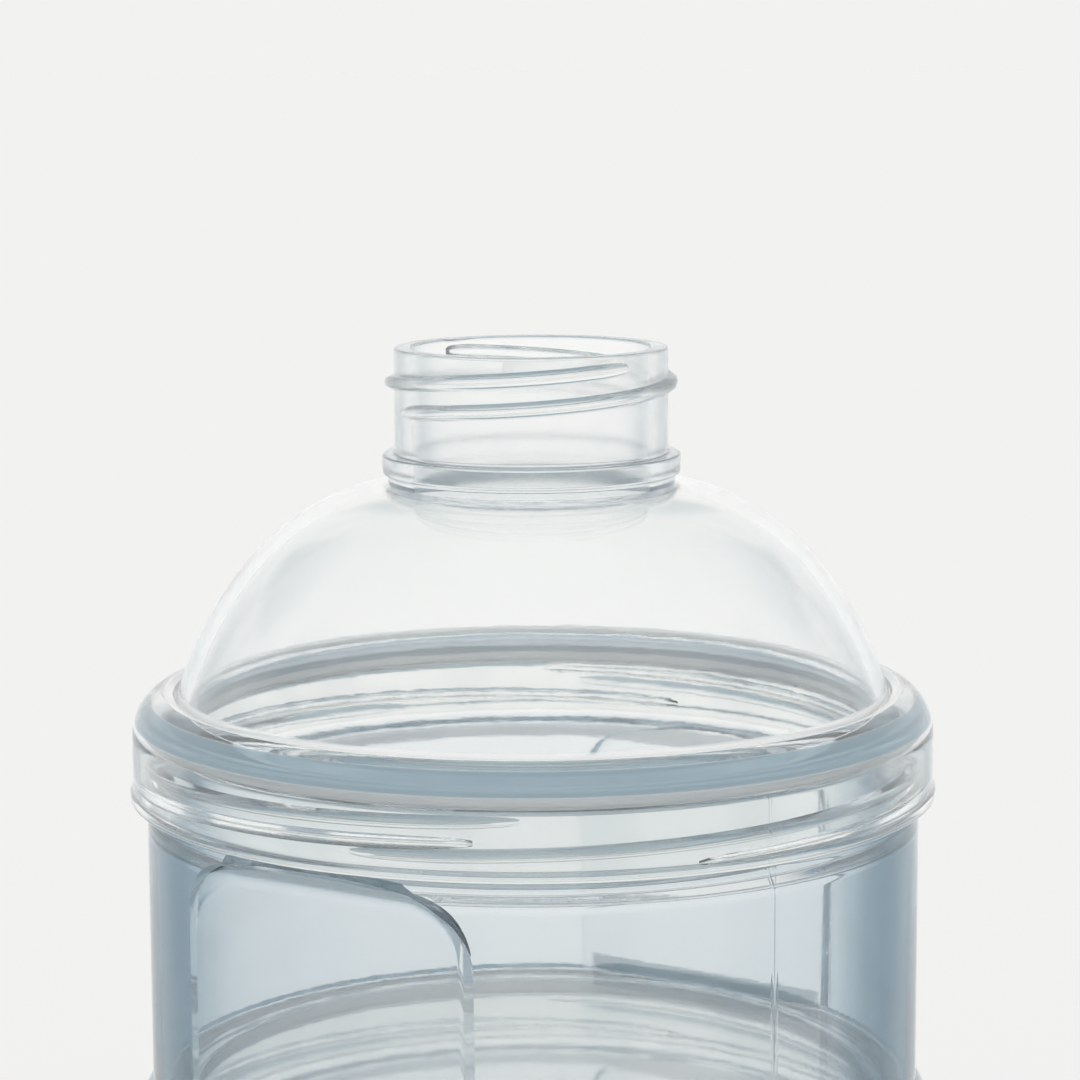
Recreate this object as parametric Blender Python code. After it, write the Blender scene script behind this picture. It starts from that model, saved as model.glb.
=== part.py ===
"""Stackable formula dispenser: a domed pouring lid screwed onto three equal round compartments.

Each compartment is a thin moulded cup with two flat grip recesses, a plain neck at its mouth and a
rounded shoulder and skirt at its foot. The skirt drops over the neck of the piece below, and a clear
washer lies between that neck and the roof of the skirt. Lengths are in metres, +Z is up, and the
origin is the centre of the lowest skirt's foot.
"""

import math

import bmesh
import bpy

# Fineness of the turned shapes
turn_steps = 48
dome_steps = 10
shoulder_steps = 5
corner_steps = 6

# Clearances
seat_gap = 0.0003
lip_gap = 0.00035
thread_room = 0.0016
overrun = 0.003
merge_distance = 0.000001

# Compartments
compartment_names = ("compartment_bottom", "compartment_middle", "compartment_top")
tier_pitch = 0.0427
body_radius = 0.0423
body_wall = 0.00085
body_step_drop = 0.0012
body_step_height = 0.0004
floor_thickness = 0.0014
floor_fillet = 0.0010
neck_inset = 0.0010
neck_wall = 0.0014
neck_rise = 0.0064
neck_edge = 0.0003

# Washers
washer_names = ("washer_lower", "washer_middle", "washer_upper")
washer_height = 0.0020

# Skirt and shoulder, the same on the lid and on every compartment
skirt_wall = 0.0009
skirt_bead = 0.0003
skirt_bead_height = 0.0008
skirt_roof_slope = 0.0010
shoulder_foot_height = 0.0066
shoulder_width = 0.0039
shoulder_rise = 0.00485
lip_inset = 0.0022
lip_wall = 0.0017

# Grip recesses
grip_azimuths = (math.radians(-122), math.radians(58))
grip_depth = 0.0033
grip_top_height = 0.0390
grip_corner_radius = 0.0070
grip_side_margin = 0.0011

# Lid
lid_name = "pouring_lid"
dome_base_inset = 0.00335
dome_base_height = 0.0109
dome_top_radius = 0.0156
dome_top_height = 0.03376
dome_wall = 0.0015
dome_lower_handle_shares = (0.161, 0.477)
dome_upper_handle_shares = (0.534, 0.074)
flange_radius = 0.0162
flange_foot_height = 0.0348
flange_thickness = 0.0022
flange_edge = 0.0003
spout_radius = 0.01485
spout_bore_radius = 0.0128
spout_rim_height = 0.0485
spout_edge = 0.0003

# Sizes that follow from those above
neck_radius = body_radius - neck_inset
lip_radius = neck_radius - lip_inset
grip_distance = body_radius - grip_depth
dome_base_radius = body_radius - dome_base_inset
skirt_inner_radius = neck_radius + thread_room
shoulder_radius = skirt_inner_radius + skirt_wall
roof_height = neck_rise + seat_gap + washer_height + seat_gap
lip_foot_height = neck_rise + lip_gap
lip_inner_radius = lip_radius - lip_wall
floor_height = roof_height + floor_thickness
neck_top_height = tier_pitch + neck_rise
shoulder_top_radius = shoulder_radius - shoulder_width
shoulder_top_height = shoulder_foot_height + shoulder_rise
neck_bore_radius = neck_radius - neck_wall


def clear_scene():
    for thing in list(bpy.data.objects):
        bpy.data.objects.remove(thing)


def plastic(name, colour, roughness, transmission):
    """A Principled material with a flat colour."""
    material = bpy.data.materials.new(name)
    material.use_nodes = True
    shader = material.node_tree.nodes["Principled BSDF"]
    shader.inputs["Base Color"].default_value = (*colour, 1)
    shader.inputs["Roughness"].default_value = roughness
    shader.inputs["Metallic"].default_value = 0
    shader.inputs["Transmission Weight"].default_value = transmission
    return material


def shoulder_curve():
    """The shoulder's rounded top, from the skirt's outer face up to its highest ring."""
    points = []
    for step in range(shoulder_steps + 1):
        turn = math.pi / 2 * step / shoulder_steps
        points.append(
            (
                shoulder_top_radius + shoulder_width * math.cos(turn),
                shoulder_foot_height + shoulder_rise * math.sin(turn),
            )
        )
    return points


def skirt_outside():
    """Outer face of a skirt, from its foot up over the shoulder."""
    bead_radius = shoulder_radius + skirt_bead
    return [
        (bead_radius, 0),
        (bead_radius, skirt_bead_height),
        (shoulder_radius + skirt_bead / 3, skirt_bead_height + skirt_bead),
        *shoulder_curve(),
    ]


def skirt_inside():
    """Inner face of a skirt, from its foot up to its roof and down over the locating lip."""
    return [
        (skirt_inner_radius, 0),
        (skirt_inner_radius, roof_height - skirt_roof_slope),
        (skirt_inner_radius - skirt_roof_slope, roof_height),
        (lip_radius, roof_height),
        (lip_radius, lip_foot_height),
        (lip_inner_radius, lip_foot_height),
    ]


def dome_curve():
    """The dome's outer face as one cubic curve, from the groove at its base up to the spout."""
    width = dome_base_radius - dome_top_radius
    height = dome_top_height - dome_base_height
    low_in, low_up = dome_lower_handle_shares
    high_out, high_down = dome_upper_handle_shares
    corners = (
        (dome_base_radius, dome_base_height),
        (dome_base_radius - low_in * width, dome_base_height + low_up * height),
        (dome_top_radius + high_out * width, dome_top_height - high_down * height),
        (dome_top_radius, dome_top_height),
    )
    points = []
    for step in range(dome_steps + 1):
        t = step / dome_steps
        weights = ((1 - t) ** 3, 3 * t * (1 - t) ** 2, 3 * t * t * (1 - t), t**3)
        radius = sum(weight * corner[0] for weight, corner in zip(weights, corners))
        height_here = sum(weight * corner[1] for weight, corner in zip(weights, corners))
        points.append((radius, height_here))
    return points


def moved_inward(curve, distance):
    """The curve's points moved square to it, towards the axis side."""
    moved = []
    for index, (radius, height) in enumerate(curve):
        before = curve[max(index - 1, 0)]
        after = curve[min(index + 1, len(curve) - 1)]
        along_r = after[0] - before[0]
        along_z = after[1] - before[1]
        length = math.hypot(along_r, along_z)
        moved.append((radius - distance * along_z / length, height + distance * along_r / length))
    return moved


def turned_mesh(name, outline):
    """A closed solid turned round Z from a closed outline of (radius, height) points."""
    shape = bmesh.new()
    corners = [shape.verts.new((radius, 0, height)) for radius, height in outline]
    ring = corners[1:] + corners[:1]
    edges = [shape.edges.new(pair) for pair in zip(corners, ring) if any(v.co.x > 0 for v in pair)]
    bmesh.ops.spin(
        shape,
        geom=corners + edges,
        cent=(0, 0, 0),
        axis=(0, 0, 1),
        angle=2 * math.pi,
        steps=turn_steps,
        use_merge=True,
    )
    bmesh.ops.remove_doubles(shape, verts=shape.verts, dist=merge_distance)
    bmesh.ops.recalc_face_normals(shape, faces=shape.faces)
    mesh = bpy.data.meshes.new(name)
    shape.to_mesh(mesh)
    shape.free()
    return mesh


def placed(name, mesh, parent=None, height=0):
    """An object on the Z axis at this height above its parent."""
    thing = bpy.data.objects.new(name, mesh)
    bpy.context.scene.collection.objects.link(thing)
    thing.parent = parent
    thing.location.z = height
    return thing


def helper(name, mesh):
    """An object that only cuts or joins others."""
    thing = placed(name, mesh)
    thing.hide_render = True
    thing.display_type = "WIRE"
    return thing


def combine(target, other, operation):
    """Cut or join by the manifold solver: the exact one leaves slivers where flats meet the facets."""
    modifier = target.modifiers.new(f"{operation} {other.name}", "BOOLEAN")
    modifier.operation = operation
    modifier.solver = "MANIFOLD"
    modifier.object = other


def grip_outline(half_width, top, foot, radius):
    """(sideways, height) points of a recess: square at its foot, round at its two top corners."""
    points = [(-half_width, foot), (half_width, foot)]
    for side in (1, -1):
        for step in range(corner_steps + 1):
            turn = math.pi / 2 * step / corner_steps
            if side < 0:
                turn = math.pi / 2 - turn
            across = side * (half_width - radius + radius * math.cos(turn))
            points.append((across, top - radius + radius * math.sin(turn)))
    return points


def grip_cutters(name, distance, top, foot, radius, reach):
    """Two blocks whose flat faces stand this far from the axis and whose tops slope out at 45 degrees."""
    half_width = math.sqrt(reach**2 - distance**2) + grip_side_margin
    spread = reach + overrun - distance
    near = grip_outline(half_width, top, foot, radius)
    far = grip_outline(half_width + spread, top + spread, foot, radius + spread)
    shape = bmesh.new()
    for azimuth in grip_azimuths:
        out = (math.cos(azimuth), math.sin(azimuth))
        rings = []
        for outline, depth in ((near, distance), (far, distance + spread)):
            ring = []
            for across, height in outline:
                x = out[0] * depth - out[1] * across
                y = out[1] * depth + out[0] * across
                ring.append(shape.verts.new((x, y, height)))
            shape.faces.new(ring)
            rings.append(ring)
        for index in range(len(near)):
            after = (index + 1) % len(near)
            shape.faces.new((rings[0][index], rings[0][after], rings[1][after], rings[1][index]))
    bmesh.ops.recalc_face_normals(shape, faces=shape.faces)
    mesh = bpy.data.meshes.new(name)
    shape.to_mesh(mesh)
    shape.free()
    return helper(name, mesh)


def body_core():
    """Solid cup above the floor's underside, before its hollow is cut: wall, step and neck."""
    step_height = tier_pitch - body_step_drop
    outline = [
        (0, roof_height + floor_thickness / 2),
        (body_radius, roof_height + floor_thickness / 2),
        (body_radius, step_height),
        (neck_radius, step_height + body_step_height),
        (neck_radius, neck_top_height - neck_edge),
        (neck_radius - neck_edge, neck_top_height),
        (0, neck_top_height),
    ]
    return placed("compartment_pattern", turned_mesh("cup_body", outline))


def skirt_core():
    """Solid shoulder and skirt, before its hollow is cut."""
    outline = [(0, 0), *skirt_outside(), (0, shoulder_top_height)]
    return helper("skirt_core", turned_mesh("skirt_core", outline))


def cup_hollow():
    """Space for the powder, from the floor up through the neck, wider below the neck."""
    inner_radius = body_radius - body_wall
    step_height = tier_pitch - body_step_drop - (inner_radius - neck_bore_radius)
    outline = [(0, floor_height)]
    for step in range(3):
        turn = math.pi / 4 * step
        outline.append(
            (
                inner_radius - floor_fillet + floor_fillet * math.sin(turn),
                floor_height + floor_fillet - floor_fillet * math.cos(turn),
            )
        )
    outline += [
        (inner_radius, step_height),
        (neck_bore_radius, step_height + inner_radius - neck_bore_radius),
        (neck_bore_radius, neck_top_height + overrun),
        (0, neck_top_height + overrun),
    ]
    hollow = helper("cup_hollow", turned_mesh("cup_hollow", outline))
    inner_top = grip_top_height + body_wall * (math.sqrt(2) - 1)
    inner_grips = grip_cutters(
        "inner_grips",
        grip_distance - body_wall,
        inner_top,
        floor_height - overrun,
        grip_corner_radius,
        inner_radius,
    )
    combine(hollow, inner_grips, "DIFFERENCE")
    return hollow


def skirt_hollow():
    """Space under the floor that takes the neck of the piece below."""
    foot = [(0, -overrun), (skirt_inner_radius, -overrun)]
    inside = skirt_inside()[1:]
    outline = [*foot, *inside, (lip_inner_radius, roof_height), (0, roof_height)]
    return helper("skirt_hollow", turned_mesh("skirt_hollow", outline))


def compartment_mesh():
    """One compartment: walls and shoulder joined, then both hollows cut, as one moulding."""
    cup = body_core()
    outer_grips = grip_cutters(
        "outer_grips",
        grip_distance,
        grip_top_height,
        roof_height,
        grip_corner_radius,
        body_radius,
    )
    combine(cup, outer_grips, "DIFFERENCE")
    combine(cup, skirt_core(), "UNION")
    combine(cup, cup_hollow(), "DIFFERENCE")
    combine(cup, skirt_hollow(), "DIFFERENCE")
    bpy.context.view_layer.update()
    graph = bpy.context.evaluated_depsgraph_get()
    mesh = bpy.data.meshes.new_from_object(cup.evaluated_get(graph))
    mesh.name = "compartment"
    clear_scene()
    return mesh


def lid_mesh():
    """The lid as one turned outline: skirt, shoulder, dome, flange and open spout."""
    dome = dome_curve()
    flange_top = flange_foot_height + flange_thickness
    outline = [
        *skirt_outside(),
        *dome,
        (dome_top_radius, flange_foot_height),
        (flange_radius - flange_edge, flange_foot_height),
        (flange_radius, flange_foot_height + flange_edge),
        (flange_radius, flange_top - flange_edge),
        (flange_radius - flange_edge, flange_top),
        (spout_radius, flange_top),
        (spout_radius, spout_rim_height - spout_edge),
        (spout_radius - spout_edge, spout_rim_height),
        (spout_bore_radius + spout_edge, spout_rim_height),
        (spout_bore_radius, spout_rim_height - spout_edge),
        (spout_bore_radius, dome_top_height - dome_wall),
        *reversed(moved_inward(dome, dome_wall)),
        *reversed(skirt_inside()),
    ]
    return turned_mesh("pouring_lid", outline)


def washer_mesh():
    """Flat washer with square edges, its foot at zero height."""
    inner = lip_radius + seat_gap
    outer = neck_radius + seat_gap
    outline = [(inner, 0), (outer, 0), (outer, washer_height), (inner, washer_height)]
    return turned_mesh("washer", outline)


def finish(thing, material):
    thing.data.materials.clear()
    thing.data.materials.append(material)
    thing.data.shade_smooth()
    thing.data.set_sharp_from_angle(angle=math.radians(35))


def build():
    clear_scene()
    clear_plastic = plastic("clear_polypropylene", (0.78, 0.84, 0.88), 0.18, 0.85)
    silicone = plastic("clear_silicone", (0.62, 0.70, 0.76), 0.45, 0.5)
    cup = compartment_mesh()
    washer = washer_mesh()
    below = None
    for cup_name, washer_name in zip(compartment_names, washer_names):
        rise = tier_pitch - neck_top_height - seat_gap if below else 0
        compartment = placed(cup_name, cup, below, rise)
        below = placed(washer_name, washer, compartment, neck_top_height + seat_gap)
        finish(compartment, clear_plastic)
        finish(below, silicone)
    lid = placed(lid_name, lid_mesh(), below, tier_pitch - neck_top_height - seat_gap)
    finish(lid, clear_plastic)


build()
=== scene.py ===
import math

import bmesh
import bpy
from mathutils import Matrix, Vector


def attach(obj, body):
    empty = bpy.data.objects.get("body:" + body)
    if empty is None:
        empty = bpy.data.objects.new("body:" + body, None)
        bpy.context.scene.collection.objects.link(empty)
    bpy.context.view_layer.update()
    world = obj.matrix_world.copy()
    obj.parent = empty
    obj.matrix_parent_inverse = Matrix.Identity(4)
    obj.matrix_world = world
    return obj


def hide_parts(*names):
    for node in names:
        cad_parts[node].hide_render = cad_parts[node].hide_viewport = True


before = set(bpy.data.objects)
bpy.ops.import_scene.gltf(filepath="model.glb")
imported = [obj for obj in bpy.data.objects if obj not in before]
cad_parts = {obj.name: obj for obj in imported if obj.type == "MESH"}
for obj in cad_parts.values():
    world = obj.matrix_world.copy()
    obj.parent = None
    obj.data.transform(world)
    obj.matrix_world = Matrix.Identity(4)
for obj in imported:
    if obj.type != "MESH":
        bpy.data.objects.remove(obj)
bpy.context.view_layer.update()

# The three powder compartments. Each is one thin cup of clear polypropylene, injection moulded in
# a split tool, with a two start thread round its neck, a deeper skirt with a matching thread at its
# foot, and two flat grips pressed into the wall opposite each other.
turn_steps = 256
rounding_steps = 4
merge_distance = 0.000001
seat_gap = 0.0003
cutter_overrun = 0.0030
fine_edge = 0.00025
soft_edge = 0.0007
tier_pitch = 0.0427
body_radius = 0.0423
body_wall = 0.00085
body_step_drop = 0.0012
body_step_round = 0.0005
inner_step_drop = 0.0004
neck_radius = 0.0413
neck_wall = 0.0014
neck_rise = 0.0064
neck_foot_rise = 0.0006
neck_foot_round = 0.0003
rim_round = 0.0004
rim_chamfer = 0.0004
floor_thickness = 0.0014
floor_round = 0.0005
washer_height = 0.0020
skirt_radius = 0.0438
skirt_wall = 0.0009
skirt_bead = 0.0003
skirt_bead_height = 0.0008
shoulder_foot = 0.0066
shoulder_width = 0.0039
shoulder_rise = 0.00485
shoulder_steps = 14
lip_radius = 0.0391
lip_wall = 0.0017
lip_gap = 0.00035
lip_root_round = 0.0005
roof_slope = 0.0010
rib_root_depth = 0.0004
rib_section_steps = 6
rib_roundness = 0.8
rib_crest_share = 0.42
rib_sweep_angle = 1.5
rib_least_steps = 24
rib_fade = math.radians(16)
rib_end_reach = 0.03
rib_end_width = 0.35
joint_lead = 0.00675
joint_crest = 0.0012
joint_rib_width = 0.0015
neck_rib_start = math.radians(-115)
neck_rib_turn = math.radians(204)
neck_rib_rise = 0.0018
skirt_rib_start = math.radians(-67)
skirt_rib_turn = math.radians(150)
skirt_rib_rise = 0.0010
grip_azimuths = (math.radians(-122), math.radians(58))
grip_depth = 0.0033
grip_wall = 0.00148
grip_top = 0.0393
grip_corner = 0.0070
grip_corner_steps = 24
grip_fillet = 0.0011
grip_fillet_steps = 8
grip_ledge_share = 0.85
grip_inner_share = 0.80
grip_inner_top = 0.0397
grip_inner_corner = grip_corner + 0.0010
grip_inner_turn = math.radians(-0.5)
grip_overrun = 0.0040
grip_foot_overlap = 0.002
grip_block_depth = 0.010

skirt_inside_radius = skirt_radius - skirt_wall
roof_height = neck_rise + washer_height + 2 * seat_gap
floor_height = roof_height + floor_thickness
floor_middle = roof_height + floor_thickness / 2
lip_foot = neck_rise + lip_gap
lip_inside_radius = lip_radius - lip_wall
step_height = tier_pitch - body_step_drop
neck_top = tier_pitch + neck_rise
neck_bore = neck_radius - neck_wall
inner_radius = body_radius - body_wall
inner_step = step_height - inner_step_drop - (inner_radius - neck_bore)
chamfer_foot = neck_top - rim_chamfer


def as_object(name, shape):
    """A finished shape as an object in the scene."""
    mesh = bpy.data.meshes.new(name)
    shape.to_mesh(mesh)
    shape.free()
    thing = bpy.data.objects.new(name, mesh)
    bpy.context.scene.collection.objects.link(thing)
    return thing


def rounded(shape, geometry, offset, steps, affect):
    """Round off corners or edges by an offset."""
    bmesh.ops.bevel(
        shape,
        geom=geometry,
        offset=offset,
        offset_type="OFFSET",
        segments=steps,
        profile=0.5,
        affect=affect,
        material=-1,
    )


def turned_solid(name, outline):
    """A closed solid spun round Z from (radius, height, rounding) corners."""
    shape = bmesh.new()
    corners = [shape.verts.new((radius, 0, height)) for radius, height, _ in outline]
    for first, second in zip(corners, corners[1:] + corners[:1]):
        if first.co.x > 0 or second.co.x > 0:
            shape.edges.new((first, second))
    roundings = sorted({rounding for _, _, rounding in outline if rounding > 0})
    by_rounding = {
        rounding: [v for v, corner in zip(corners, outline) if corner[2] == rounding]
        for rounding in roundings
    }
    for rounding, chosen in by_rounding.items():
        rounded(shape, chosen, rounding, rounding_steps, "VERTICES")
    bmesh.ops.spin(
        shape,
        geom=shape.verts[:] + shape.edges[:],
        cent=(0, 0, 0),
        axis=(0, 0, 1),
        angle=2 * math.pi,
        steps=turn_steps,
        use_merge=True,
    )
    bmesh.ops.remove_doubles(shape, verts=shape.verts, dist=merge_distance)
    bmesh.ops.recalc_face_normals(shape, faces=shape.faces)
    return as_object(name, shape)


def combined(target, *steps):
    """The target cut or joined by each (operation, other) in turn, as one plain mesh."""
    for operation, other in steps:
        modifier = target.modifiers.new(operation, "BOOLEAN")
        modifier.operation = operation
        modifier.solver = "MANIFOLD"
        modifier.object = other
    graph = bpy.context.evaluated_depsgraph_get()
    mesh = bpy.data.meshes.new_from_object(target.evaluated_get(graph))
    for _, other in steps:
        bpy.data.objects.remove(other)
    bpy.data.objects.remove(target)
    thing = bpy.data.objects.new("joined", mesh)
    bpy.context.scene.collection.objects.link(thing)
    return thing


def rib_section(root, crest, width):
    """Corners of a rib across its run: a rounded crest on a root that is sunk in the wall."""
    sunk = root - math.copysign(rib_root_depth, crest - root)
    section = [(sunk, -width / 2), (root, -width / 2)]
    for step in range(1, rib_section_steps):
        angle = math.pi * (step / rib_section_steps - 0.5)
        reach = (crest - root) * math.cos(angle) ** rib_roundness
        section.append((root + reach, width * rib_crest_share * math.sin(angle)))
    return section + [(root, width / 2), (sunk, width / 2)]


def thread_rib(name, root, crest, width, start, turn, foot, lead):
    """A rib swept up a helix, and thinned out towards both of its ends."""
    out = 1 if crest > root else -1
    shape = bmesh.new()
    section = rib_section(root, crest, width)
    face = shape.faces.new([shape.verts.new((radius, 0, height)) for radius, height in section])
    steps = max(rib_least_steps, int(math.degrees(turn) / rib_sweep_angle))
    climb = Matrix.Translation((0, 0, lead * turn / steps / (2 * math.pi)))
    move = climb @ Matrix.Rotation(turn / steps, 4, "Z")
    sections = [list(face.verts)]
    for _ in range(steps):
        grown = bmesh.ops.extrude_face_region(shape, geom=[face, *face.edges, *face.verts])
        new = [item for item in grown["geom"] if isinstance(item, bmesh.types.BMVert)]
        face = next(item for item in grown["geom"] if isinstance(item, bmesh.types.BMFace))
        bmesh.ops.transform(shape, matrix=move, verts=new)
        sections.append(new)
    for index, verts in enumerate(sections):
        run = index / steps * turn
        share = min(1, min(run, turn - run) / rib_fade)
        middle = sum(v.co.z for v in verts) / len(verts)
        swell = math.sqrt(max(0.0, 1 - (1 - share) ** 2)) * (1 - rib_end_reach) + rib_end_reach
        width_share = rib_end_width + (1 - rib_end_width) * swell
        for vert in verts:
            radius = math.hypot(vert.co.x, vert.co.y)
            if (radius - root) * out > 0:
                wanted = root + (radius - root) * swell
                vert.co.x *= wanted / radius
                vert.co.y *= wanted / radius
            vert.co.z = middle + (vert.co.z - middle) * width_share
    bmesh.ops.recalc_face_normals(shape, faces=shape.faces)
    placed = Matrix.Translation((0, 0, foot)) @ Matrix.Rotation(start, 4, "Z")
    bmesh.ops.transform(shape, matrix=placed, verts=shape.verts)
    return as_object(name, shape)


def thread(name, root, crest, width, start, turn, foot, lead):
    """The two ribs of a two start thread, half a turn apart, as steps to join to a wall."""
    return [
        ("UNION", thread_rib(name, root, crest, width, start + half_turn, turn, foot, lead))
        for half_turn in (0, math.pi)
    ]


def skirt_thread():
    """The thread inside a skirt."""
    return thread(
        "skirt_rib",
        root=skirt_inside_radius,
        crest=skirt_inside_radius - joint_crest,
        width=joint_rib_width,
        start=skirt_rib_start,
        turn=skirt_rib_turn,
        foot=skirt_rib_rise,
        lead=joint_lead,
    )


def grip_blocks(name, shell, distance, top, corner, ledge_share, turn):
    """Two blocks that press the grips: flat faces this far out, with a sloped ledge over each."""
    shape = bmesh.new()
    half_width = math.sqrt(shell**2 - distance**2) + grip_fillet
    spread = body_radius + grip_overrun - distance
    ledge = spread * ledge_share
    foot = roof_height - grip_foot_overlap - spread
    made = bmesh.ops.create_cube(shape, size=1)
    bmesh.ops.scale(
        shape,
        vec=(grip_block_depth, 2 * (half_width + ledge), top + ledge - foot),
        verts=made["verts"],
    )
    bmesh.ops.translate(
        shape,
        vec=(distance + spread + grip_block_depth / 2, 0, (top + ledge + foot) / 2),
        verts=made["verts"],
    )
    upper = [
        edge
        for edge in shape.edges
        if all(v.co.z > top for v in edge.verts)
        and edge.verts[0].co.y * edge.verts[1].co.y > 0
    ]
    rounded(shape, upper, corner + ledge, grip_corner_steps, "EDGES")
    front = min(shape.faces, key=lambda face: face.calc_center_median().x)
    bmesh.ops.inset_region(
        shape, faces=[front], thickness=ledge, depth=spread, use_even_offset=True
    )
    front = min(shape.faces, key=lambda face: face.calc_center_median().x)
    rounded(shape, front.edges[:], grip_fillet, grip_fillet_steps, "EDGES")
    bmesh.ops.recalc_face_normals(shape, faces=shape.faces)
    second = bmesh.ops.duplicate(shape, geom=shape.verts[:] + shape.edges[:] + shape.faces[:])
    twin = [item for item in second["geom"] if isinstance(item, bmesh.types.BMVert)]
    first = [v for v in shape.verts if v not in set(twin)]
    for azimuth, chosen in zip(grip_azimuths, (first, twin)):
        turned = Matrix.Rotation(azimuth + turn, 3, "Z")
        bmesh.ops.rotate(shape, cent=(0, 0, 0), matrix=turned, verts=chosen)
    return as_object(name, shape)


def shoulder_outside():
    """Corners of a skirt's outer face, from its foot bead up over the rounded shoulder."""
    corners = [
        (skirt_radius + skirt_bead, 0, fine_edge),
        (skirt_radius + skirt_bead, skirt_bead_height, fine_edge),
        (skirt_radius, skirt_bead_height + skirt_bead, fine_edge),
    ]
    for step in range(shoulder_steps + 1):
        angle = math.pi / 2 * step / shoulder_steps
        corners.append(
            (
                skirt_radius - shoulder_width + shoulder_width * math.cos(angle),
                shoulder_foot + shoulder_rise * math.sin(angle),
                0,
            )
        )
    return corners


def skirt_inside():
    """Corners of a skirt's inner face, from its foot up to the roof and down round the lip."""
    return [
        (skirt_inside_radius, 0, fine_edge),
        (skirt_inside_radius, roof_height - roof_slope, soft_edge),
        (skirt_inside_radius - roof_slope, roof_height, soft_edge),
        (lip_radius, roof_height, fine_edge),
        (lip_radius, lip_foot, fine_edge),
        (lip_inside_radius, lip_foot, fine_edge),
    ]


cup = turned_solid(
    "cup",
    [
        (0, floor_middle, 0),
        (body_radius, floor_middle, 0),
        (body_radius, step_height, body_step_round),
        (neck_radius, step_height + neck_foot_rise, neck_foot_round),
        (neck_radius, neck_top, rim_round),
        (0, neck_top, 0),
    ],
)
skirt_core = turned_solid(
    "skirt_core",
    [(0, 0, 0), *shoulder_outside(), (0, shoulder_foot + shoulder_rise, 0)],
)
cup_hollow = turned_solid(
    "cup_hollow",
    [
        (0, floor_height, 0),
        (inner_radius, floor_height, floor_round),
        (inner_radius, inner_step, soft_edge),
        (neck_bore, inner_step + inner_radius - neck_bore, soft_edge),
        (neck_bore, chamfer_foot, 0),
        (neck_bore + cutter_overrun, chamfer_foot + cutter_overrun, 0),
        (0, chamfer_foot + cutter_overrun, 0),
    ],
)
skirt_hollow = turned_solid(
    "skirt_hollow",
    [
        (0, -cutter_overrun, 0),
        (skirt_inside_radius, -cutter_overrun, 0),
        *skirt_inside()[1:],
        (lip_inside_radius, roof_height, lip_root_round),
        (0, roof_height, 0),
    ],
)
inner_grips = grip_blocks(
    "inner_grips",
    shell=inner_radius,
    distance=body_radius - grip_depth - grip_wall,
    top=grip_inner_top,
    corner=grip_inner_corner,
    ledge_share=grip_inner_share,
    turn=grip_inner_turn,
)
cup_hollow = combined(cup_hollow, ("DIFFERENCE", inner_grips))
outer_grips = grip_blocks(
    "outer_grips",
    shell=body_radius,
    distance=body_radius - grip_depth,
    top=grip_top,
    corner=grip_corner,
    ledge_share=grip_ledge_share,
    turn=0.0,
)
neck_thread = thread(
    "neck_rib",
    root=neck_radius,
    crest=neck_radius + joint_crest,
    width=joint_rib_width,
    start=neck_rib_start,
    turn=neck_rib_turn,
    foot=tier_pitch + neck_rib_rise,
    lead=joint_lead,
)
compartment = combined(
    cup,
    ("DIFFERENCE", outer_grips),
    ("UNION", skirt_core),
    ("DIFFERENCE", cup_hollow),
    ("DIFFERENCE", skirt_hollow),
    *neck_thread,
    *skirt_thread(),
)

# Looks of the plastic. A band is (inner radius, outer radius, foot, head, share), with the heights
# counted from the foot of its own tier.
plastic_ior = 1.45
polish = (0.015, 0.05)
no_frost = (1.0, 0.0)
frost_softness = 0.001
depth_tint = (0.40, 0.62, 0.75)
# The blue bands are painted shade: they darken and cloud rings of the skin where dark surroundings
# show through the plastic, and stand partly for the denser tint of thick moulding.
thick_tint_and_painted_shade = (0.30, 0.40, 0.46)
rear_tint_and_painted_shade = (0.26, 0.42, 0.52)
painted_band_clearness = 0.25
floor_tint = (0.99, 0.995, 0.985)
level_limits = (0.6, 0.9)
joint_head = 0.0067
joint_softness = 0.0001
joint_side_limits = (0.30, 0.65)
joint_side_share = 0.40
band_softness = 0.00015
# The shoulder, ledge, lip and grip foot bands mark where that painted shade lies.
shoulder_band = (0.0419, 0.0450, 0.0084, 0.0112, 1.0)
lip_band = (0.0365, 0.0380, 0.0067, 0.0090, 0.35)
grip_foot_band = (0.0350, 0.0408, 0.0105, 0.0124, 0.55)
ledge_band = (0.0350, 0.0421, 0.0396, 0.0414, 0.45)
ripple_stretch = (25, 25, 60)
ripple_strength = 0.22
ripple_depth = 0.0002
flow_stretch = (260, 260, 900)
flow_strength = 0.035
flow_depth = 0.0001
flow_limits = (0.35, 0.65)
split_azimuth = math.radians(-54)
seam_edges = (0.00028, 0.00006)
seam_clearance = 0.005
seam_strength = 0.25
seam_height = 0.00012
crease_angle = math.radians(38)
normal_weight = 90


def fed(tree, socket, value):
    """Link another socket to a socket, or give it a plain value."""
    if isinstance(value, bpy.types.NodeSocket):
        tree.links.new(value, socket)
    else:
        socket.default_value = value


def maths(tree, operation, *values):
    """The result of a sum on sockets or plain numbers."""
    node = tree.nodes.new("ShaderNodeMath")
    node.operation = operation
    for socket, value in zip(node.inputs, values):
        fed(tree, socket, value)
    return node.outputs["Value"]


def ranged(tree, value, limits, results=(0, 1), kind="LINEAR"):
    """A value carried over from between two limits to between two results."""
    node = tree.nodes.new("ShaderNodeMapRange")
    node.interpolation_type = kind
    for name, amount in zip(("From Min", "From Max", "To Min", "To Max"), (*limits, *results)):
        node.inputs[name].default_value = amount
    tree.links.new(value, node.inputs["Value"])
    return node.outputs["Result"]


def mixed(tree, share, first, second, kind):
    """Two colours (RGBA) or two numbers (FLOAT) mixed by a share."""
    node = tree.nodes.new("ShaderNodeMix")
    node.data_type = kind
    for name, value in (("Factor", share), ("A", first), ("B", second)):
        fed(tree, node.inputs[name], value)
    return node.outputs["Result"]


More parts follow.
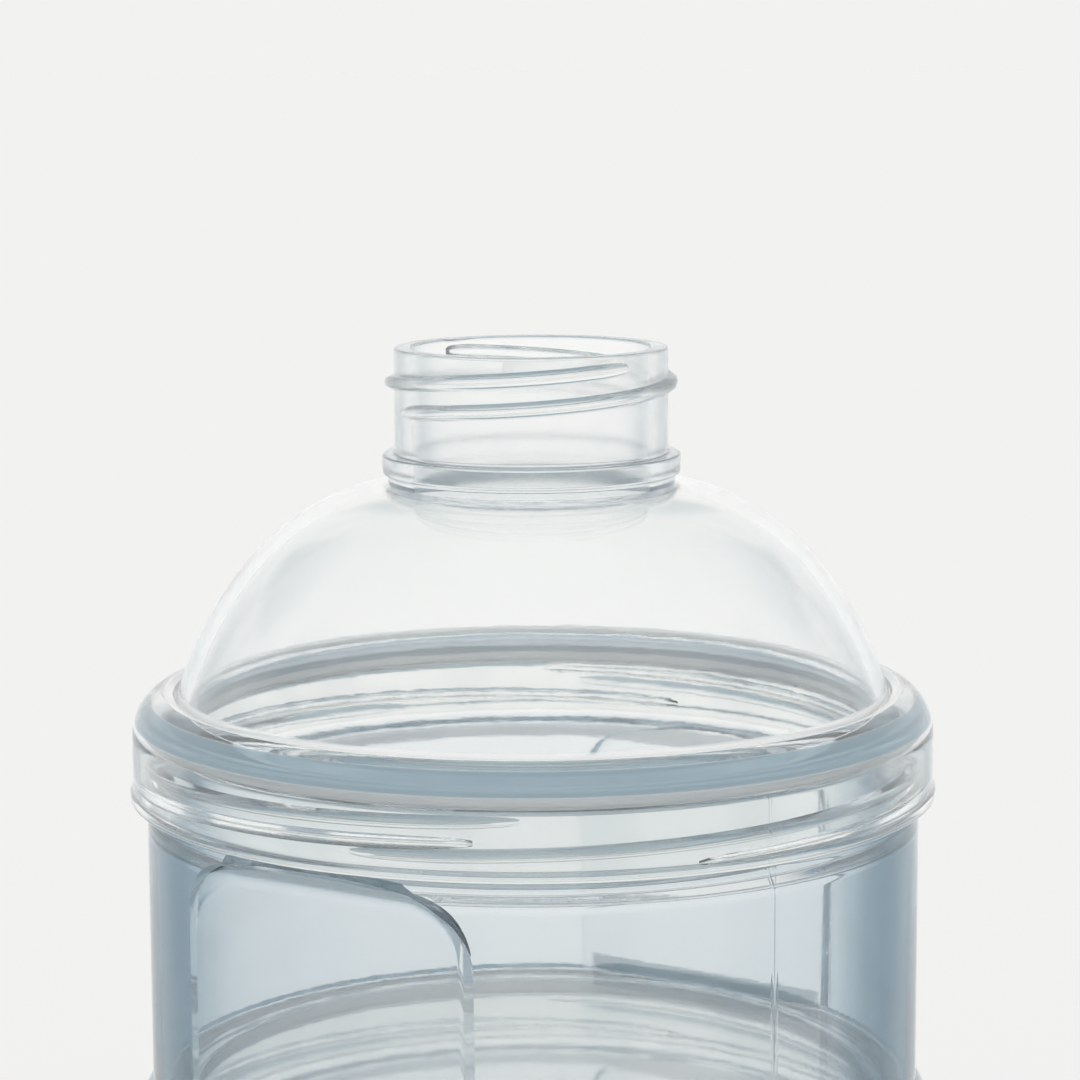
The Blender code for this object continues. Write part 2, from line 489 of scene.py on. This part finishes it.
def ramp(tree, value, stops):
    """A colour that follows a value from 0 to 1 through (position, colour) stops."""
    node = tree.nodes.new("ShaderNodeValToRGB")
    marks = node.color_ramp.elements
    for mark, (position, colour) in zip(marks, (stops[0], stops[-1])):
        mark.position = position
        mark.color = (*colour, 1)
    for position, colour in stops[1:-1]:
        marks.new(position).color = (*colour, 1)
    tree.links.new(value, node.inputs["Fac"])
    return node.outputs["Color"]


def axes(tree, vector):
    """The X, Y and Z of a vector."""
    node = tree.nodes.new("ShaderNodeSeparateXYZ")
    tree.links.new(vector, node.inputs["Vector"])
    return node.outputs


def reach(tree, place, direction):
    """How far a place lies in a direction."""
    node = tree.nodes.new("ShaderNodeVectorMath")
    node.operation = "DOT_PRODUCT"
    node.inputs[1].default_value = direction
    tree.links.new(place, node.inputs[0])
    return node.outputs["Value"]


def stretched(tree, place, scale):
    """A place scaled along each axis."""
    node = tree.nodes.new("ShaderNodeMapping")
    node.inputs["Scale"].default_value = scale
    tree.links.new(place, node.inputs["Vector"])
    return node.outputs["Vector"]


def noise(tree, place, scale, detail):
    """Smooth noise over a place."""
    node = tree.nodes.new("ShaderNodeTexNoise")
    node.inputs["Scale"].default_value = scale
    node.inputs["Detail"].default_value = detail
    tree.links.new(place, node.inputs["Vector"])
    return node.outputs["Fac"]


def bumped(tree, height, strength, distance, under=None):
    """The normal of a fine relief, which may lie on another relief."""
    node = tree.nodes.new("ShaderNodeBump")
    node.inputs["Strength"].default_value = strength
    node.inputs["Distance"].default_value = distance
    tree.links.new(height, node.inputs["Height"])
    if under is not None:
        tree.links.new(under, node.inputs["Normal"])
    return node.outputs["Normal"]


def band(tree, value, low, high, softness):
    """1 where a value lies between two limits, and 0 beyond them, with a soft change."""
    above = ranged(tree, value, (low - softness, low + softness), kind="SMOOTHSTEP")
    below = ranged(tree, value, (high + softness, high - softness), kind="SMOOTHSTEP")
    return maths(tree, "MULTIPLY", above, below)


def rings(tree, radius, storey, outside, rows):
    """How far a point of the outer skin lies in any ring of (inner, outer, foot, head, share)."""
    total = None
    for inner, outer, foot, head, share in rows:
        across = band(tree, radius, inner, outer, band_softness)
        up = band(tree, storey, foot, head, band_softness)
        part = maths(tree, "MULTIPLY", maths(tree, "MULTIPLY", across, up), share)
        total = part if total is None else maths(tree, "MAXIMUM", total, part)
    return maths(tree, "MULTIPLY", total, outside)


def plastic_colour(tree, place, milk, edge_tints, layers):
    """Colour and clearness: bluer edge on, paler on floors and joints, with rings painted over it
    in blue as painted shade (partly the tint of thick moulding) or in white as a painted highlight.
    """
    view = tree.nodes.new("ShaderNodeLayerWeight")
    view.inputs["Blend"].default_value = 0.5
    skin = tree.nodes.new("ShaderNodeNewGeometry")
    outside = maths(tree, "SUBTRACT", 1, skin.outputs["Backfacing"])
    parts = axes(tree, place)
    level_place = tree.nodes.new("ShaderNodeCombineXYZ")
    tree.links.new(parts["X"], level_place.inputs["X"])
    tree.links.new(parts["Y"], level_place.inputs["Y"])
    length = tree.nodes.new("ShaderNodeVectorMath")
    length.operation = "LENGTH"
    tree.links.new(level_place.outputs["Vector"], length.inputs[0])
    radius = length.outputs["Value"]
    storey = maths(tree, "FLOORED_MODULO", parts["Z"], tier_pitch)

    upright = maths(tree, "ABSOLUTE", axes(tree, skin.outputs["True Normal"])["Z"])
    level_face = ranged(tree, upright, level_limits)
    joint = band(tree, storey, -tier_pitch, joint_head, joint_softness)
    front = ranged(tree, view.outputs["Facing"], joint_side_limits, (1.0, joint_side_share))
    clearer = maths(tree, "MAXIMUM", level_face, maths(tree, "MULTIPLY", joint, front))
    # Edge on, the plastic is tinted bluer: partly the longer path through the wall, partly painted
    # shade of the darker surroundings seen through it.
    tint = ramp(tree, view.outputs["Facing"], edge_tints)
    colour = mixed(tree, clearer, tint, (*floor_tint, 1), "RGBA")
    clearness = 1 - milk
    # Each ring is painted over the colour and made cloudier: blue for painted shade, white for a
    # painted highlight.
    for tone, rows in layers:
        share = rings(tree, radius, storey, outside, rows)
        colour = mixed(tree, share, colour, (*tone, 1), "RGBA")
        clearness = mixed(tree, share, clearness, painted_band_clearness, "FLOAT")
    return colour, clearness


def plastic_finish(tree, place, frost, seams):
    """Roughness and relief: slow tool ripples, fine flow marks, frost above a height, and seams."""
    ripple = noise(tree, stretched(tree, place, ripple_stretch), 1, detail=2)
    flow = noise(tree, stretched(tree, place, flow_stretch), 1, detail=3)
    relief = bumped(tree, ripple, ripple_strength, ripple_depth)
    relief = bumped(tree, flow, flow_strength, flow_depth, relief)
    for azimuth in seams:
        across = reach(tree, place, (-math.sin(azimuth), math.cos(azimuth), 0))
        outward = reach(tree, place, (math.cos(azimuth), math.sin(azimuth), 0))
        ridge = ranged(tree, maths(tree, "ABSOLUTE", across), seam_edges, kind="SMOOTHSTEP")
        side = maths(tree, "GREATER_THAN", outward, seam_clearance)
        line = maths(tree, "MULTIPLY", ridge, side)
        relief = bumped(tree, line, seam_strength, seam_height, relief)
    frost_foot, frost_roughness = frost
    frost_limits = (frost_foot - frost_softness, frost_foot + frost_softness)
    frosted = ranged(
        tree, axes(tree, place)["Z"], frost_limits, (0, frost_roughness), kind="SMOOTHSTEP"
    )
    roughness = maths(tree, "ADD", ranged(tree, flow, flow_limits, polish), frosted)
    return roughness, relief


def clear_plastic(name, milk, edge_tints, depth_density, frost, layers, seams):
    """Clear moulded polypropylene, which takes up a little red light on its way through."""
    material = bpy.data.materials.new(name)
    material.use_nodes = True
    tree = material.node_tree
    shader = tree.nodes["Principled BSDF"]
    shader.inputs["IOR"].default_value = plastic_ior
    place = tree.nodes.new("ShaderNodeTexCoord").outputs["Object"]
    colour, clearness = plastic_colour(tree, place, milk, edge_tints, layers)
    roughness, relief = plastic_finish(tree, place, frost, seams)
    tree.links.new(colour, shader.inputs["Base Color"])
    tree.links.new(clearness, shader.inputs["Transmission Weight"])
    tree.links.new(roughness, shader.inputs["Roughness"])
    tree.links.new(relief, shader.inputs["Normal"])
    depth = tree.nodes.new("ShaderNodeVolumeAbsorption")
    depth.inputs["Color"].default_value = (*depth_tint, 1)
    depth.inputs["Density"].default_value = depth_density
    tree.links.new(depth.outputs["Volume"], tree.nodes["Material Output"].inputs["Volume"])
    return material


def dressed(thing, name, material, body, node, height):
    """Name, place, shade and tie a finished piece to the frame."""
    thing.name = name
    thing.data.name = name
    thing.data.transform(Matrix.Translation((0, 0, height)))
    thing.data.materials.clear()
    thing.data.materials.append(material)
    thing.data.shade_smooth()
    thing.data.set_sharp_from_angle(angle=crease_angle)
    even = thing.modifiers.new("even shading", "WEIGHTED_NORMAL")
    even.keep_sharp = True
    even.weight = normal_weight
    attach(thing, body)
    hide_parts(node)


polypropylene = clear_plastic(
    "polypropylene_compartment",
    milk=0.04,
    # The dark blue edge tint is partly the longer path through the wall and partly painted shade.
    edge_tints=[
        (0, (0.905, 0.930, 0.940)),
        (0.15, (0.895, 0.922, 0.935)),
        (0.40, (0.700, 0.765, 0.810)),
        (0.60, (0.200, 0.310, 0.390)),
        (0.76, (0.170, 0.280, 0.360)),
        (1, (0.500, 0.610, 0.690)),
    ],
    depth_density=12,
    frost=no_frost,
    # The layers are painted shade bands over the plastic's own colour.
    layers=((thick_tint_and_painted_shade, (shoulder_band, ledge_band)), (rear_tint_and_painted_shade, (lip_band, grip_foot_band))),
    seams=(split_azimuth,),
)
for tier, node in enumerate(("compartment_bottom", "compartment_middle", "compartment_top")):
    copy = bpy.data.objects.new(node, compartment.data.copy())
    bpy.context.scene.collection.objects.link(copy)
    foot = tier * tier_pitch
    dressed(copy, f"{node}_moulding", polypropylene, node, node, foot)
bpy.data.objects.remove(compartment)


# The three washers. Each is a clear silicone ring cut with square edges, which lies on the rim of a
# neck and is squeezed by the roof of the skirt above.
washer_edge = 0.0002
silicone_tint = (0.94, 0.965, 0.98)
silicone_clearness = 0.60
silicone_ior = 1.41
silicone_roughness = 0.25
silicone_grain = 900
silicone_grain_strength = 0.2
silicone_grain_depth = 0.0001

silicone = bpy.data.materials.new("silicone_washer")
silicone.use_nodes = True
rubber = silicone.node_tree
rubber_shader = rubber.nodes["Principled BSDF"]
rubber_shader.inputs["Base Color"].default_value = (*silicone_tint, 1)
rubber_shader.inputs["Transmission Weight"].default_value = silicone_clearness
rubber_shader.inputs["IOR"].default_value = silicone_ior
rubber_shader.inputs["Roughness"].default_value = silicone_roughness
rubber_place = rubber.nodes.new("ShaderNodeTexCoord").outputs["Object"]
grain = noise(rubber, rubber_place, silicone_grain, detail=2)
grain_relief = bumped(rubber, grain, silicone_grain_strength, silicone_grain_depth)
rubber.links.new(grain_relief, rubber_shader.inputs["Normal"])

for tier, node in enumerate(("washer_lower", "washer_middle", "washer_upper")):
    ring = turned_solid(
        node,
        [
            (lip_radius + seat_gap, 0, washer_edge),
            (neck_radius + seat_gap, 0, washer_edge),
            (neck_radius + seat_gap, washer_height, washer_edge),
            (lip_radius + seat_gap, washer_height, washer_edge),
        ],
    )
    seat = neck_top + seat_gap + tier * tier_pitch
    dressed(ring, f"{node}_ring", silicone, node, node, seat)


# The pouring lid. It is one thin dome of the same plastic with the skirt of a compartment at its
# foot and an open spout at its crown, which has a flange and a two start thread for a cap.
dome_base = (0.03895, 0.0109)
dome_top = (0.0156, 0.03376)
dome_lower_handle = (0.03519, 0.02181)
dome_upper_handle = (0.02808, 0.03207)
dome_steps = 40
dome_wall = 0.0015
groove_edge = (0.0393, 0.0112)
groove_floor = (0.03908, 0.0105)
groove_round = 0.0002
flange_radius = 0.0162
flange_foot = 0.0348
flange_top = 0.0370
flange_edge = 0.0003
spout_radius = 0.01485
spout_bore = 0.0128
spout_rim = 0.0485
spout_rim_edge = 0.0003
spout_bore_edge = 0.0005
spout_root_round = 0.0004
spout_mouth_round = 0.0008
spout_lead = 0.0063
spout_rib_width = 0.0017
spout_rib_crest = 0.00105
spout_rib_start = math.radians(-155)
spout_rib_turn = math.radians(289)
spout_rib_foot = 0.0420
lid_foot = 3 * tier_pitch
# The groove band is a painted highlight: a white, cloudy ring between the dome and the shoulder in
# place of the glint there. The lid's lip band is painted shade, like the compartments' bands.
painted_groove_highlight = (1.0, 1.0, 0.99)
lid_lip_band = (0.0365, 0.0380, 0.0083, 0.0099, 0.60)
groove_band = (0.0386, 0.0403, 0.0102, 0.0118, 0.90)

handles = (dome_base, dome_lower_handle, dome_upper_handle, dome_top)
dome_outside = []
for step in range(dome_steps + 1):
    t = step / dome_steps
    weights = ((1 - t) ** 3, 3 * t * (1 - t) ** 2, 3 * t * t * (1 - t), t**3)
    dome_outside.append(
        (
            sum(weight * handle[0] for weight, handle in zip(weights, handles)),
            sum(weight * handle[1] for weight, handle in zip(weights, handles)),
            0,
        )
    )
dome_inside = []
for index, (radius, height, _) in enumerate(dome_outside):
    before = dome_outside[max(index - 1, 0)]
    after = dome_outside[min(index + 1, dome_steps)]
    along = Vector((after[0] - before[0], after[1] - before[1])).normalized()
    dome_inside.append((radius - dome_wall * along.y, height + dome_wall * along.x, 0))
lid = turned_solid(
    "lid",
    [
        *shoulder_outside(),
        (*groove_edge, 0),
        (*groove_floor, groove_round),
        *dome_outside,
        (dome_top[0], flange_foot, spout_root_round),
        (flange_radius, flange_foot, flange_edge),
        (flange_radius, flange_top, flange_edge),
        (spout_radius, flange_top, spout_root_round),
        (spout_radius, spout_rim, spout_rim_edge),
        (spout_bore, spout_rim, spout_bore_edge),
        (spout_bore, dome_top[1] - dome_wall, spout_mouth_round),
        *reversed(dome_inside),
        *reversed(skirt_inside()),
    ],
)
lid_skirt_thread = skirt_thread()
spout_thread = thread(
    "spout_rib",
    root=spout_radius,
    crest=spout_radius + spout_rib_crest,
    width=spout_rib_width,
    start=spout_rib_start,
    turn=spout_rib_turn,
    foot=spout_rib_foot,
    lead=spout_lead,
)
lid = combined(lid, *lid_skirt_thread, *spout_thread)
lid_plastic = clear_plastic(
    "polypropylene_lid",
    milk=0.03,
    edge_tints=[
        (0, (1.0, 1.0, 0.995)),
        (0.39, (0.995, 0.995, 0.99)),
        (0.69, (0.94, 0.955, 0.96)),
        (1, (0.83, 0.87, 0.89)),
    ],
    depth_density=10,
    frost=(lid_foot + flange_foot, 0.12),
    # Painted shade bands on the shoulder and lip, and a painted highlight in the groove.
    layers=(
        (thick_tint_and_painted_shade, (shoulder_band,)),
        (rear_tint_and_painted_shade, (lid_lip_band,)),
        (painted_groove_highlight, (groove_band,)),
    ),
    seams=(),
)
dressed(
    lid,
    "pouring_lid_moulding",
    lid_plastic,
    "pouring_lid",
    "pouring_lid",
    lid_foot,
)


# The studio: a wide plain floor, a surround of eight bright boards with duller cards between them
# that only the clear plastic sees, and the photograph's camera, a long lens a little above the
# spout.
backdrop = (0.888, 0.888, 0.8795)
floor_radius = 40
floor_sides = 96
deep = (0.20, 0.30, 0.36)
dusk = (0.34, 0.45, 0.51)
slate = (0.38, 0.48, 0.54)
card = (0.38, 0.46, 0.51)
haze = (0.75, 0.80, 0.83)
mist = (0.85, 0.88, 0.89)
cloud = (0.90, 0.92, 0.92)
warm = (1.0, 0.97, 0.93)
glow = (1.0, 0.97, 0.94)
pale = (1.0, 1.0, 0.99)
board_count = 8
board_edges = (-0.8, -0.1)
camera_lens = 109.05
camera_sensor = 36
camera_clip = (0.01, 100)
camera_place = (0.00547, -0.35305, 0.2078)
camera_swing = 0.013
camera_tilt = 0.1474
camera_roll = -0.0046
ray_bounces = 24


def either(tree, share, first, second):
    """One shader or the other, by a share."""
    node = tree.nodes.new("ShaderNodeMixShader")
    for socket, value in zip(node.inputs, (share, first, second)):
        tree.links.new(value, socket)
    return node.outputs["Shader"]


def bent_light(tree, rays):
    """1 for light that has gone through or glanced off the plastic."""
    return maths(tree, "MAXIMUM", rays["Is Transmission Ray"], rays["Is Glossy Ray"])


floor_shape = bmesh.new()
bmesh.ops.create_circle(floor_shape, cap_ends=True, segments=floor_sides, radius=floor_radius)
floor = as_object("studio_floor", floor_shape)
paint = bpy.data.materials.new("floor_paint")
paint.use_nodes = True
coat = paint.node_tree
coat_shader = coat.nodes["Principled BSDF"]
coat_shader.inputs["Base Color"].default_value = (*backdrop, 1)
coat_shader.inputs["Roughness"].default_value = 1
coat_shader.inputs["Specular IOR Level"].default_value = 0
floor_rays = coat.nodes.new("ShaderNodeLightPath").outputs
open_air = coat.nodes.new("ShaderNodeBsdfTransparent").outputs["BSDF"]
painted = either(coat, bent_light(coat, floor_rays), coat_shader.outputs["BSDF"], open_air)
coat.links.new(painted, coat.nodes["Material Output"].inputs["Surface"])
floor.data.materials.append(paint)

world = bpy.data.worlds.new("studio_surround")
bpy.context.scene.world = world
world.use_nodes = True
air = world.node_tree
rays = air.nodes.new("ShaderNodeLightPath").outputs
heading = axes(air, air.nodes.new("ShaderNodeTexCoord").outputs["Generated"])
elevation = ranged(air, maths(air, "ARCSINE", heading["Z"]), (-math.pi / 2, math.pi / 2))


def by_elevation(stops):
    """Colours of the surround by elevation in degrees."""
    return ramp(air, elevation, [((angle + 90) / 180, colour) for angle, colour in stops])


def background(colour):
    """A part of the surround in one colour, or in the colours of a socket."""
    node = air.nodes.new("ShaderNodeBackground")
    fed(air, node.inputs["Color"], colour)
    return node.outputs["Background"]


boards = by_elevation(
    [
        (-90, dusk),
        (-33, slate),
        (-26, haze),
        (-21, warm),
        (-16, cloud),
        (-11, pale),
        (7, pale),
        (15, glow),
        (18, glow),
        (22, deep),
        (30, dusk),
        (40, pale),
        (90, pale),
    ]
)
cards = by_elevation(
    [(-90, dusk), (-28, dusk), (-22, card), (-11, card), (-6, haze), (0, pale), (90, pale)]
)
sheen = by_elevation([(-90, dusk), (-40, haze), (-20, mist), (-5, pale), (90, pale)])
azimuth = maths(air, "ARCTAN2", heading["X"], heading["Y"])
waves = maths(air, "COSINE", maths(air, "MULTIPLY", azimuth, board_count))
board_share = ranged(air, waves, board_edges, kind="SMOOTHSTEP")
ring_of_boards = mixed(air, board_share, cards, boards, "RGBA")
graded = background(mixed(air, rays["Is Reflection Ray"], ring_of_boards, sheen, "RGBA"))
fill = background((1, 1, 1, 1))
lit = either(air, bent_light(air, rays), fill, graded)
seen = either(air, rays["Is Camera Ray"], lit, background((*backdrop, 1)))
air.links.new(seen, air.nodes["World Output"].inputs["Surface"])

camera_data = bpy.data.cameras.new("photograph_camera")
camera_data.lens = camera_lens
camera_data.sensor_width = camera_sensor
camera_data.clip_start, camera_data.clip_end = camera_clip
camera = bpy.data.objects.new("photograph_camera", camera_data)
bpy.context.scene.collection.objects.link(camera)
camera.matrix_world = (
    Matrix.Translation(camera_place)
    @ Matrix.Rotation(camera_swing, 4, "Z")
    @ Matrix.Rotation(math.pi / 2 - camera_tilt, 4, "X")
    @ Matrix.Rotation(camera_roll, 4, "Z")
)
bpy.context.scene.camera = camera

for limit in ("max_bounces", "transmission_bounces", "glossy_bounces", "transparent_max_bounces"):
    setattr(bpy.context.scene.cycles, limit, ray_bounces)
bpy.context.scene.view_settings.view_transform = "Standard"
